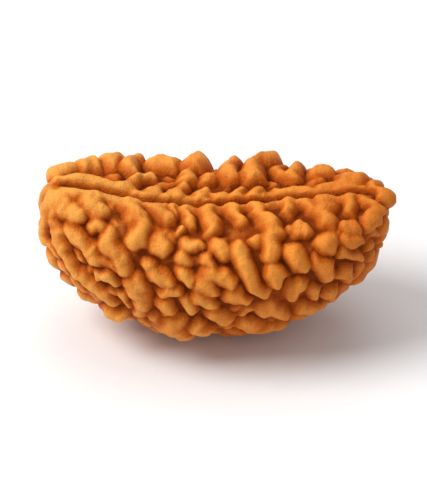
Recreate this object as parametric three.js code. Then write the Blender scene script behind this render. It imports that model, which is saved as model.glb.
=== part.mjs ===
// A one-faced rudraksha seed: the half-moon stone of an Elaeocarpus fruit, standing on its round belly.
// It grew as one piece. One groove, its single face, runs from tip to tip along the flat upper side,
// and blunt warts and winding ridges cover everything else.
// X runs along the seed, -Y is the front and +Z is up, in millimetres.
// The origin is the middle of the small flat spot that the seed stands on.
import * as THREE from 'three';

const { clamp, degToRad, lerp, smoothstep } = THREE.MathUtils;

// The bare stone under its warts. Three heights are for the left tip, the middle and the right tip.
const HALF_LENGTH = 12.2;
const HALF_THICKNESS = 5.7;
const WIDEST_LEVEL = [9, 7.5, 11];
const GROOVE_LEVEL = [13.1, 10.9, 11.7];
const BELLY_LEVEL = 0.7; // lowest level, which leaves room for the warts that the seed stands on
const TOP_BLUNTNESS = 6.3; // 2 makes an ellipse, and more a blunter end
const BELLY_BLUNTNESS = 1.95;
const SIDE_BLUNTNESS = 1.9;
const SHOULDER = 0.33; // how square the shoulders of the flat side are
const WAVES = [[0.09, 6.5], [0.05, 17]]; // reach and turns per half length of the groove's wandering
const DRIFT = [-1.1, -0.75, 1.3]; // how far it lies behind the middle plane, less towards the tips

// Relief
const CREST_LIMIT = 0.985; // share of the half length that the crests keep within
const SPREAD = 1.4; // how far a wart's foot reaches, over its half width
const TAPER = 0.15; // share by which a ridge is wider at its first point, and narrower at its last
const JOIN = 0.2; // how softly two warts run together
const WINDING = [[0.14, 2.6], [0.07, 6.1]]; // reach, and turns per millimetre, of the warts' winding
const LUMP_REACH = 0.1; // of the lumps along the warts
const LUMP_TURNS = 3.4; // per millimetre
const LIP_OFFSET = 0.6; // from the groove to the crest of the lip on either side
const LIP_HALF_WIDTH = 0.85;
const LIP_RISE = 0.7;
const GROOVE_HALF_WIDTH = 0.19;
const GROOVE_CUT = 0.9; // depth below the lips
const GROOVE_FADE = 1.5; // height above the widest level over which the lips and the groove fade in
// Where the groove begins, has its whole depth, narrows and ends, in shares of the half length. Its lips
// run together where it ends.
const GROOVE_START = -0.96;
const GROOVE_FULL = -0.86;
const GROOVE_NARROWING = 0.9;
const GROOVE_END = 0.98;
const FOOT_HALF_WIDTH = 2; // the knob in the middle of the belly, whose top is worn flat
const FOOT_RISE = 1.2;

// Fill warts, scattered where no drawn ridge lies. They are big first and small last, and long at the
// left tip and round at the right one.
const FILL_SEED = 7;
const DRAW_FACTOR = 1664525; // each random draw is the last one times this, plus the step
const DRAW_STEP = 1013904223;
const FILL_TRIES = 9000;
const FILL_OVERLAP = 0.22; // by which the feet of two neighbours may run into each other
const FILL_HALF_WIDTH = [0.85, 0.42];
const FILL_LENGTH = [4.6, 2.2];
const FILL_SHORTEST = 0.4; // share of that length
const FILL_STEEPNESS = [0.9, 1.15]; // rise over half width
const FILL_LEAN = [0.5, 2.2]; // angle between a wart and the seed's length
const FILL_BEND = 0.5; // most that a wart turns on either side of its middle

// Mesh
const FACET = 0.39; // edge length of a facet
const RING_STEP = 0.87 * FACET; // between two rings
const SLIP = 0.5; // of every second ring, so that the facets are nearly equilateral
const RAMP = 4; // points on either side of the groove over which it slips
const FEWEST_ROUND = 6; // points of the smallest ring
const TIP = 0.9999; // share of the half length from which a ring is a single point
const STATIONS = 200; // samples used to even out the rings

// Drawing of the front
const LOOK_DOWN = degToRad(40); // it is seen from this far above level
const DRAWN_ORIGIN = 1.25; // height of the origin in it
const CREST = 0.85; // height of the crests above the bare stone, as drawn
const SEARCH_STEPS = 360; // turns tried per half circle
const AIM_ROUNDS = 5;
const AHEAD = 0.001; // share of the half length between two points that show how the surface leans

// Ridges of the front and the skyline: half width, rise, then points [across, up] along the crest, as
// drawn in that view. A single point is a round knob.
const DRAWN_RIDGES = [
  // lip behind the groove
  [0.6, 0.95, [-6.2, 11.1], [-6.8, 10.95], [-7.9, 11.2], [-9, 11.5], [-10.2, 11.6], [-11.4, 11.4]],
  [0.55, 0.95, [-6.2, 11.15], [-5.6, 11.7], [-4.7, 11.8]],
  [0.65, 0.95, [-4.9, 10.3], [-4.3, 10.8]],
  [0.55, 0.9, [-3.5, 10.2], [-3.2, 10.5]],
  [0.55, 1, [-2.8, 10.3], [-2.3, 10.9], [-2, 11.4]],
  [0.65, 0.95, [-1.2, 10.1], [-0.8, 10.6]],
  [0.6, 0.9, [0, 10.2], [0.6, 10.4]],
  [0.65, 0.95, [1.5, 10.1], [1.9, 10.7]],
  [0.7, 0.95, [2.7, 10.1], [3.1, 10.8]],
  [0.55, 0.8, [4.4, 10.6], [5.6, 10.8], [6.6, 10.9]],
  [0.6, 0.8, [7.6, 10.95], [8.7, 11.2]],
  [0.55, 0.8, [9.6, 10.9], [10.6, 10.9]],
  [0.5, 0.7, [11.3, 10.9], [12.2, 10.7]],
  [0.45, 1, [12.2, 10.6], [12.9, 10.2]],
  // second rank, along the skyline
  [0.6, 1.4, [-10.7, 12.4], [-11.7, 12]],
  [0.65, 1.45, [-9.8, 12.5], [-8.9, 12.6]],
  [0.8, 1.65, [-7.9, 12.8], [-7.1, 12.9]],
  [0.65, 1.6, [-6.4, 12.3], [-5.6, 12.8]],
  [0.95, 1.5, [-4.2, 12.5], [-3.2, 12.4]],
  [0.55, 0.5, [-3.8, 11.3], [-3, 11.3]],
  [0.65, 1.2, [-2.1, 11.4], [-1.7, 12.1]],
  [0.95, 1.7, [-1.5, 12.4], [-1.2, 12.9]],
  [0.6, 0.9, [-0.8, 11.5], [0, 11.9]],
  [0.5, 0.5, [-0.1, 12.4]],
  [0.8, 1.5, [0.9, 11.7], [1.4, 12.5]],
  [0.85, 1.75, [2.5, 11.6], [3.2, 12.4], [4.2, 12.9]],
  [0.75, 1, [4.4, 12.2], [4.8, 11.9]],
  [0.65, 1.25, [5.5, 11.7], [5.9, 12.3]],
  [0.7, 1.15, [7.4, 12.1], [8.2, 12.1]],
  [0.55, 0.7, [7, 11.3], [7.6, 11.6]],
  [0.95, 1.05, [9.5, 11.5], [10.2, 11.5]],
  [0.55, 0.8, [11.4, 11.3]],
  // teeth that hang from the lip in front of the groove
  [0.5, 0.8, [-10.2, 10.5], [-11.3, 10.5], [-12.1, 10.4]],
  [0.95, 0.95, [-8.9, 10.1], [-8.5, 9.4]],
  [0.4, 0.4, [-7.3, 8.3]],
  [0.4, 0.5, [-7.5, 9.7]],
  [0.8, 1, [-6, 9.9], [-5.6, 8.8], [-5.4, 7.7], [-5.9, 7]],
  [0.85, 0.95, [-4.2, 9.5], [-3.5, 8.9]],
  [0.5, 0.9, [-3.1, 9.6], [-3, 9.1]],
  [0.6, 0.9, [-2.1, 9.5], [-1.9, 8.5]],
  [0.35, 0.8, [-2.45, 7.9]],
  [0.75, 1, [-0.6, 9.7], [-0.3, 8.6], [-0.2, 8]],
  [0.7, 0.95, [1.1, 9.7], [1.7, 8.7]],
  [0.65, 0.95, [2.8, 9.8], [3.4, 8.8]],
  [0.75, 1.1, [3.8, 8.6], [4.1, 7.4], [4, 6.4], [3.9, 6]],
  [0.68, 1, [5.2, 10], [5.2, 9.2]],
  [0.5, 0.8, [6.6, 10], [7, 9.3]],
  [0.95, 1, [7.8, 10.1], [7.8, 9.4], [8, 8.7]],
  [0.55, 1, [9.7, 10.2], [9.6, 9.2]],
  [0.45, 0.85, [10.7, 10], [11.5, 9.7]],
  [0.35, 0.8, [11.1, 8.9], [12, 9.1]],
  [0.4, 0.85, [11.2, 8.1], [12, 8.2]],
  // left end, where long ridges sweep from the tip round the belly
  [0.7, 0.95, [-12.4, 9.2], [-12.7, 8], [-12.7, 6.9]],
  [0.5, 0.65, [-12.3, 6.4], [-11.8, 5.7]],
  [0.5, 0.6, [-11.4, 5], [-11, 4.3]],
  [0.5, 0.6, [-10.6, 3.7], [-10, 3.1]],
  [0.5, 0.8, [-11.3, 10], [-11.2, 9.2], [-11, 8.7]],
  [0.6, 0.9, [-12.1, 9.8], [-12, 8.9], [-11.8, 7.4], [-11.3, 6], [-10.8, 5], [-10.2, 4.2]],
  [0.5, 0.6, [-10.5, 9.7]],
  [0.7, 0.95, [-10.3, 8.75], [-10, 8.65]],
  [0.68, 1, [-10.4, 7.2], [-9.8, 6.6], [-9.2, 5.9], [-8.7, 5.3]],
  [0.5, 0.8, [-8.8, 8.05], [-8.3, 7.95]],
  [0.7, 1, [-8, 6.7], [-7.5, 6], [-7.1, 5.3], [-6.7, 4.6]],
  [0.6, 0.8, [-8.3, 5.2], [-7.5, 4.9]],
  [0.35, 0.7, [-8.75, 4.4], [-8.7, 3.9]],
  [0.6, 0.85, [-8, 4.2], [-7.5, 3.7]],
  [0.6, 0.85, [-9.8, 4], [-9.1, 3.3], [-8.4, 2.7], [-7.8, 2.2]],
  [0.7, 1.2, [-7.7, 1.5], [-7, 1.3]],
  [0.45, 0.7, [-6.9, 2.7], [-6.4, 1.9]],
  [0.7, 0.95, [-6.1, 3.6], [-5.6, 2.8], [-5.5, 2], [-5.6, 1.5]],
  // middle of the front
  [0.5, 0.45, [-4.1, 7.8], [-3.2, 7.3]],
  [0.65, 1, [-4.1, 6.5], [-3.7, 6.3]],
  [0.5, 0.7, [-2.1, 6.6], [-1.1, 6.7]],
  [0.6, 0.85, [-2.4, 5.5]],
  [0.7, 0.9, [0.3, 6.4], [0.6, 6.1]],
  [0.5, 0.8, [-0.6, 5.4], [-0.3, 5.1]],
  [0.6, 0.9, [-0.5, 4.4], [0.5, 4.1], [1.1, 3.6]],
  [0.75, 0.95, [-0.9, 3.5], [-0.3, 3.2]],
  [0.66, 1.05, [1.7, 6.3], [2, 5.2], [2.3, 4.3], [2.8, 3.4], [3.6, 2.9]],
  [0.74, 1.1, [4.3, 4.3], [4.3, 3.8]],
  [0.6, 0.9, [2.9, 7]],
  [0.75, 0.9, [1.3, 2.6], [2, 2.4]],
  [0.7, 0.9, [-1.2, 2.6], [-0.4, 2.1]],
  [0.7, 0.9, [0, 1.2], [0.8, 0.8]],
  [0.6, 0.85, [-4.9, 4.9]],
  [0.6, 0.9, [-4.4, 4.2], [-3.4, 3.7]],
  [0.6, 0.9, [-3.6, 3], [-2.9, 3]],
  [0.6, 0.9, [-2.3, 4.3], [-1.9, 3.7]],
  [0.6, 0.9, [-4.6, 1.2], [-4.2, 0.8]],
  [0.6, 0.9, [-3.9, 2], [-3.4, 1.5]],
  [0.6, 0.9, [-2.1, 2.2], [-1.8, 1.5]],
  [1.1, 1.35, [-3.4, 0.6], [-2.4, 0.05]],
  [0.75, 1.1, [-1.6, 0.3], [-0.7, 0.1]],
  // right end, where the warts are round knobs
  [0.6, 1.05, [6.1, 7.9], [6.5, 7.8]],
  [0.4, 0.6, [5.3, 8]],
  [0.78, 1.2, [8, 6.75]],
  [0.3, 0.5, [8.9, 7.6]],
  [0.36, 0.85, [9.3, 8], [10.3, 7.9]],
  [0.42, 0.9, [9.6, 6.75], [10.6, 6.85]],
  [0.4, 0.6, [11.7, 7.3], [12, 7.1]],
  [0.5, 0.75, [11.5, 6.3]],
  [0.4, 0.75, [12.3, 6.3]],
  [0.42, 0.85, [9.3, 5.75], [10, 5.6], [10.7, 5.4]],
  [0.45, 0.75, [11.5, 5.5]],
  [0.7, 1.05, [5.7, 5.8], [5.95, 5.4], [6.3, 5]],
  [0.72, 1.15, [8, 4.7], [8.2, 4.1]],
  [0.6, 0.85, [9.6, 4.4], [9.8, 3.8]],
  [0.75, 1, [5.9, 3.2], [5.6, 2.6]],
  [0.5, 0.8, [7.3, 3.1], [7.3, 2.6]],
  [0.5, 0.9, [8.5, 2.9], [8.6, 2.4]],
  [0.7, 0.9, [3.6, 1.6], [4.5, 1.4], [5.1, 1.2]],
  [0.6, 0.95, [6.4, 1.7], [7.2, 1.7]],
  [0.6, 0.6, [10.2, 3.9], [10.9, 4.7]],
];

const lens = (t, bluntness) => Math.max(1 - Math.abs(t) ** bluntness, 0) ** (1 / bluntness);

// A value that changes smoothly from the left tip over the middle to the right tip
function along(t, [left, middle, right]) {
  return middle + ((right - left) / 2) * t + ((right + left) / 2 - middle) * t * t;
}

// Distance of the groove behind the middle plane
function wander(t) {
  const drift = along(t, DRIFT) * (1 - t * t);
  return WAVES.reduce((sum, [reach, turns]) => sum + reach * Math.sin(turns * t), drift);
}

// A point of the bare stone: t runs from -1 at the left tip to 1 at the right one, and turn is the angle
// round the seed from the groove, growing towards the front.
function stone(t, turn) {
  const level = along(t, WIDEST_LEVEL);
  const up = Math.cos(turn);
  const side = Math.sin(turn);
  const rise = (along(t, GROOVE_LEVEL) - level) * lens(t, TOP_BLUNTNESS) * (1 + SHOULDER * side * side);
  const drop = (level - BELLY_LEVEL) * lens(t, BELLY_BLUNTNESS);
  return new THREE.Vector3(
    HALF_LENGTH * t,
    -HALF_THICKNESS * lens(t, SIDE_BLUNTNESS) * side + wander(t) * Math.max(up, 0) ** 3,
    level + up * (up > 0 ? rise : drop),
  );
}

// Once round the stone at t, starting on the groove
class Girth extends THREE.Curve {
  constructor(t) {
    super();
    this.t = t;
  }

  getPoint(share) {
    return stone(this.t, 2 * Math.PI * share);
  }
}

// From tip to tip along the front of the stone
class Flank extends THREE.Curve {
  getPoint(share) {
    return stone(-Math.cos(Math.PI * share), Math.PI / 2);
  }
}

// Where a point of the drawing lies on the bare stone: of all turns that face the viewer, the one whose
// crest is drawn nearest to that height. How far the crest leans along the seed is found first for a
// place that ignores it, and then for better ones.
function drawnPoint([across, up]) {
  const sight = new THREE.Vector3(0, -Math.cos(LOOK_DOWN), Math.sin(LOOK_DOWN));
  const drawnUp = new THREE.Vector3(0, Math.sin(LOOK_DOWN), Math.cos(LOOK_DOWN));
  const step = Math.PI / SEARCH_STEPS;
  let found;
  let lean = 0;
  for (let round = 0; round < AIM_ROUNDS; round++) {
    const t = clamp((across - CREST * lean) / HALF_LENGTH, -CREST_LIMIT, CREST_LIMIT);
    let nearest = Infinity;
    for (let turn = -Math.PI / 2; turn < Math.PI; turn += step) {
      const p = stone(t, turn);
      const out = stone(t, turn + step).sub(p).cross(stone(t + AHEAD, turn).sub(p)).normalize();
      const miss = Math.abs(p.dot(drawnUp) + CREST * out.dot(drawnUp) + DRAWN_ORIGIN - up);
      if (out.dot(sight) >= 0 && miss < nearest) {
        nearest = miss;
        found = p;
        lean = out.x;
      }
    }
  }
  return found;
}

// A ridge as straight stretches between crest points. It narrows along its crest.
function stretches(halfWidth, rise, crest) {
  if (crest.length === 1) return [{ halfWidth, widening: 0, rise, start: crest[0], run: new THREE.Vector3() }];
  const widening = (-2 * TAPER * halfWidth) / (crest.length - 1);
  return crest.slice(1).map((end, i) => ({
    halfWidth: halfWidth * (1 + TAPER) + i * widening,
    widening,
    rise,
    start: crest[i],
    run: end.clone().sub(crest[i]),
  }));
}

// How far a point is away from a stretch, and the share of the stretch that it lies beside
function measure(stretch, p) {
  const from = p.clone().sub(stretch.start);
  const share = clamp(from.dot(stretch.run) / (stretch.run.lengthSq() || 1), 0, 1);
  return { away: from.addScaledVector(stretch.run, -share).length(), share };
}

// Warts thrown at random at what is still bare. One is kept if it clears all the others.
function fillWarts(placed) {
  let state = FILL_SEED;
  const draw = () => {
    state = (Math.imul(state, DRAW_FACTOR) + DRAW_STEP) >>> 0;
    return state / 2 ** 32;
  };
  const all = [...placed];
  for (let i = 0; i < FILL_TRIES; i++) {
    const late = i / FILL_TRIES;
    const t = lerp(-CREST_LIMIT, CREST_LIMIT, draw());
    const turn = 2 * Math.PI * draw();
    const halfWidth = lerp(...FILL_HALF_WIDTH, late);
    const share = lerp(FILL_SHORTEST, 1, draw()) * (1 - late);
    const half = (lerp(...FILL_LENGTH, (t + 1) / 2) * share) / 2;
    const lean = lerp(...FILL_LEAN, draw());
    const bend = FILL_BEND * (2 * draw() - 1);
    const rise = halfWidth * lerp(...FILL_STEEPNESS, draw());
    const crest = [-1, 0, 1].map((end) => {
      const ahead = end * half * Math.cos(lean + bend * end);
      const around = end * half * Math.sin(lean + bend * end);
      const x = clamp(t + ahead / HALF_LENGTH, -CREST_LIMIT, CREST_LIMIT);
      return stone(x, turn + around / (HALF_THICKNESS * lens(x, SIDE_BLUNTNESS)));
    });
    const isClear = (s) => crest.every((p) => measure(s, p).away > halfWidth + s.halfWidth - FILL_OVERLAP);
    if (all.every(isClear)) all.push(...stretches(halfWidth, rise, crest));
  }
  return all;
}

// The greater of two heights, with a soft valley where they meet
function softMax(a, b) {
  const near = Math.max(JOIN - Math.abs(a - b), 0) / JOIN;
  return Math.max(a, b) + (near ** 3 * JOIN) / 6;
}

const dome = (away) => Math.max(1 - away * away, 0);

// The warts wind, because a point is measured from their crests as if it lay a little to the side
function shifted(p) {
  const felt = p.clone();
  for (const [reach, turns] of WINDING) {
    felt.x += reach * Math.sin(turns * p.y);
    felt.y += reach * Math.sin(turns * p.z);
    felt.z += reach * Math.sin(turns * p.x);
  }
  return felt;
}

// Height of the relief at a point of the bare stone. The lips and the groove are only on the flat side.
function relief(p, ridges) {
  const t = clamp(p.x / HALF_LENGTH, -1, 1);
  const felt = shifted(p);
  let rise = 0;
  for (const s of ridges) {
    const { away, share } = measure(s, felt);
    rise = softMax(rise, s.rise * dome(away / (SPREAD * (s.halfWidth + s.widening * share))));
  }
  rise = softMax(rise, FOOT_RISE * dome(Math.hypot(p.x, p.y, p.z - BELLY_LEVEL) / FOOT_HALF_WIDTH));
  const fade = smoothstep(p.z - along(t, WIDEST_LEVEL), 0, GROOVE_FADE);
  const away = Math.abs(p.y - wander(t));
  const opening = smoothstep(t, GROOVE_START, GROOVE_FULL) * (1 - smoothstep(t, GROOVE_NARROWING, GROOVE_END));
  rise = softMax(rise, fade * LIP_RISE * dome(Math.abs(away - opening * LIP_OFFSET) / LIP_HALF_WIDTH));
  rise -= fade * opening * GROOVE_CUT * Math.exp(-((away / GROOVE_HALF_WIDTH) ** 2));
  const [alongX, alongY, alongZ] = felt.toArray().map((place) => Math.sin(LUMP_TURNS * place));
  return rise + LUMP_REACH * alongX * alongY * alongZ;
}

// Shares of the way round at which a ring has its points, the first of them on the groove. Away from
// there the ring slips by a share of a facet.
function ringShares(count, slip) {
  return Array.from({ length: count }, (_, i) => (i + (slip * Math.min(i, count - i, RAMP)) / RAMP) / count);
}

// Two neighbouring rings of points are sewn with facets that go round both at the same pace. A ring of
// one point, at a tip, has no edge of its own.
function sew(index, left, right) {
  const nextShare = (ring, i) => (i + 1 < ring.count ? ring.shares[i + 1] : 1);
  let i = 0;
  let j = 0;
  while (i < left.count || j < right.count) {
    const a = left.first + (i % left.count);
    const b = right.first + (j % right.count);
    if (j === right.count || (i < left.count && nextShare(left, i) <= nextShare(right, j))) {
      i++;
      if (left.count > 1) index.push(b, a, left.first + (i % left.count));
    } else {
      j++;
      if (right.count > 1) index.push(b, a, right.first + (j % right.count));
    }
  }
}

// The bare stone as rings of points, one behind the other from tip to tip
function bareStone() {
  const flank = new Flank();
  flank.arcLengthDivisions = STATIONS;
  const steps = Math.round(flank.getLength() / RING_STEP);
  const points = [];
  const rings = flank.getSpacedPoints(steps).map((p, i) => {
    const t = clamp(p.x / HALF_LENGTH, -1, 1);
    const girth = new Girth(t);
    const count = Math.abs(t) > TIP ? 1 : Math.max(FEWEST_ROUND, Math.round(girth.getLength() / FACET));
    const shares = ringShares(count, i % 2 ? SLIP : 0);
    const first = points.length;
    points.push(...shares.map((share) => (count > 1 ? girth.getPointAt(share) : stone(t, 0))));
    return { first, count, shares };
  });
  const index = [];
  for (let i = 1; i < rings.length; i++) sew(index, rings[i - 1], rings[i]);
  const geometry = new THREE.BufferGeometry().setFromPoints(points).setIndex(index);
  geometry.computeVertexNormals();
  return geometry;
}

function wartedStone() {
  const geometry = bareStone();
  const drawn = DRAWN_RIDGES.flatMap(([halfWidth, rise, ...crest]) =>
    stretches(halfWidth, rise, crest.map(drawnPoint).map(shifted)),
  );
  const ridges = fillWarts(drawn);
  const { position, normal } = geometry.attributes;
  for (let i = 0; i < position.count; i++) {
    const p = new THREE.Vector3().fromBufferAttribute(position, i);
    const out = new THREE.Vector3().fromBufferAttribute(normal, i);
    p.addScaledVector(out, relief(p, ridges));
    position.setXYZ(i, p.x, p.y, Math.max(p.z, 0));
  }
  geometry.computeVertexNormals();
  return geometry;
}

const seed = new THREE.Mesh(
  wartedStone(),
  new THREE.MeshStandardMaterial({ color: 0xbd6a2c, roughness: 0.6, metalness: 0 }),
);
seed.name = 'rudraksha_seed';

const part = new THREE.Group();
part.add(seed);
export default part;
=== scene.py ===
"""A one-faced rudraksha seed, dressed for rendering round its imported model.

The stone is made again on a finer mesh from the same sizes, and a node tree raises its warts, lips and
groove. X runs along the seed, -Y is the front and +Z is up. Sizes are in millimetres until a mesh is made.
"""
import math

import bpy
import numpy as np
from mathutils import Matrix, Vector


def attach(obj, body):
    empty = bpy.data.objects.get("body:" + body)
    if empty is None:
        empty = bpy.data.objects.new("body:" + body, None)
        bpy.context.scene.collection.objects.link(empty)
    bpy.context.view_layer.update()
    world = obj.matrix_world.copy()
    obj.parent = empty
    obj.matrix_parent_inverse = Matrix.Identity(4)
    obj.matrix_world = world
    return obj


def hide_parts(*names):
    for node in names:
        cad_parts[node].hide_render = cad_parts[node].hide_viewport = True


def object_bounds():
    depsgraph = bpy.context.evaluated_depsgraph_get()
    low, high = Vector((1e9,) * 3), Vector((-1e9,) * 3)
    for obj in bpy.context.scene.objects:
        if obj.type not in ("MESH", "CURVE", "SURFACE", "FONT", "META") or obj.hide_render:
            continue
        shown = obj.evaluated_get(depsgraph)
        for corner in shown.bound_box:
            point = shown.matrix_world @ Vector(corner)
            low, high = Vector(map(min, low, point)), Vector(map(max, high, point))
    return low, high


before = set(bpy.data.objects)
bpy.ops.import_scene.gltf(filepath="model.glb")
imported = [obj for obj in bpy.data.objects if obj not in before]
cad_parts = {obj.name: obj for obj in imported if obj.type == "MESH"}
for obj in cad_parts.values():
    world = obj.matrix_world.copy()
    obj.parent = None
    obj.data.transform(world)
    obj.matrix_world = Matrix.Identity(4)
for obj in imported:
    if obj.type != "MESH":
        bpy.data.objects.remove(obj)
CAD_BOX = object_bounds()
MM = 0.001

# The bare stone under its warts. Three heights are for the left tip, the middle and the right tip.
HALF_LENGTH = 12.2
HALF_THICKNESS = 5.7
WIDEST_LEVEL = (9, 7.5, 11)
GROOVE_LEVEL = (13.1, 10.9, 11.7)
BELLY_LEVEL = 0.7  # lowest level, which leaves room for the warts that the seed stands on
TOP_BLUNTNESS = 6.3  # 2 makes an ellipse, and more a blunter end
BELLY_BLUNTNESS = 1.95
SIDE_BLUNTNESS = 1.9
SHOULDER = 0.33  # how square the shoulders of the flat side are
WAVES = ((0.09, 6.5), (0.05, 17.0))  # reach and turns per half length of the groove's wandering
DRIFT = (-1.1, -0.75, 1.3)  # how far it lies behind the middle plane, less towards the tips
DRIFT_FADE = 3  # power by which the bare stone follows the groove less towards the flanks

# Relief
CREST_LIMIT = 0.985  # share of the half length that the crests keep within
SPREAD = 1.4  # how far a wart's foot reaches, over its half width
TAPER = 0.15  # share by which a ridge is wider at its first point, and narrower at its last
JOIN = 0.2  # how softly two warts run together
WINDING = ((0.14, 2.6), (0.07, 6.1))  # reach, and turns per millimetre, of the warts' winding
LUMP_REACH = 0.1  # of the lumps along the warts
LUMP_TURNS = 3.4  # per millimetre
LIP_OFFSET = 0.6  # from the groove to the crest of the lip on either side
LIP_HALF_WIDTH = 0.85
LIP_RISE = 0.7
GROOVE_HALF_WIDTH = 0.19
GROOVE_CUT = 0.9  # depth below the lips
GROOVE_FADE = 1.5  # height above the widest level over which the lips and the groove fade in
# Where the groove begins, has its whole depth, narrows and ends, in shares of the half length. Its lips
# run together at both ends.
GROOVE_START = -0.96
GROOVE_FULL = -0.86
GROOVE_NARROWING = 0.9
GROOVE_END = 0.98
FOOT_HALF_WIDTH = 2  # of the worn knob that the seed stands on
FOOT_RISE = 1.2

# Fill warts, scattered where no drawn ridge lies. They are big first and small last, and long at the
# left tip and round at the right one.
FILL_SEED = 7
DRAW_FACTOR = 1664525  # each random draw is the last one times this, plus the step, within the range
DRAW_STEP = 1013904223
DRAW_RANGE = 2**32
FILL_TRIES = 9000
FILL_OVERLAP = 0.22  # by which the feet of two neighbours may run into each other
FILL_HALF_WIDTH = (0.85, 0.42)
FILL_LENGTH = (4.6, 2.2)
FILL_SHORTEST = 0.4  # share of that length
FILL_STEEPNESS = (0.9, 1.15)  # rise over half width
FILL_LEAN = (0.5, 2.2)  # angle between a wart and the seed's length
FILL_BEND = 0.5  # most that a wart turns on either side of its middle
LEAST_SQUARE = 1e-12  # of a ridge's run, so that a knob, which has none, can be measured too

# Mesh
FACET = 0.103  # edge length of a facet
RING_STEP = 0.87 * FACET  # between two rings, for nearly equilateral facets
FEWEST_ROUND = 6  # points of the smallest ring
TIP = 0.9999  # share of the half length from which a ring is a single point
STATIONS = 720  # samples used to even out the rings

# Drawing of the front
LOOK_DOWN = math.radians(40)  # it is seen from this far above level
DRAWN_ORIGIN = 1.25  # height of the origin in it
CREST = 0.85  # height of the crests above the bare stone, as drawn
SEARCH_STEPS = 360  # turns tried per half circle
AIM_ROUNDS = 5
AHEAD = 0.001  # share of the half length between two points that show how the surface leans

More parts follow.
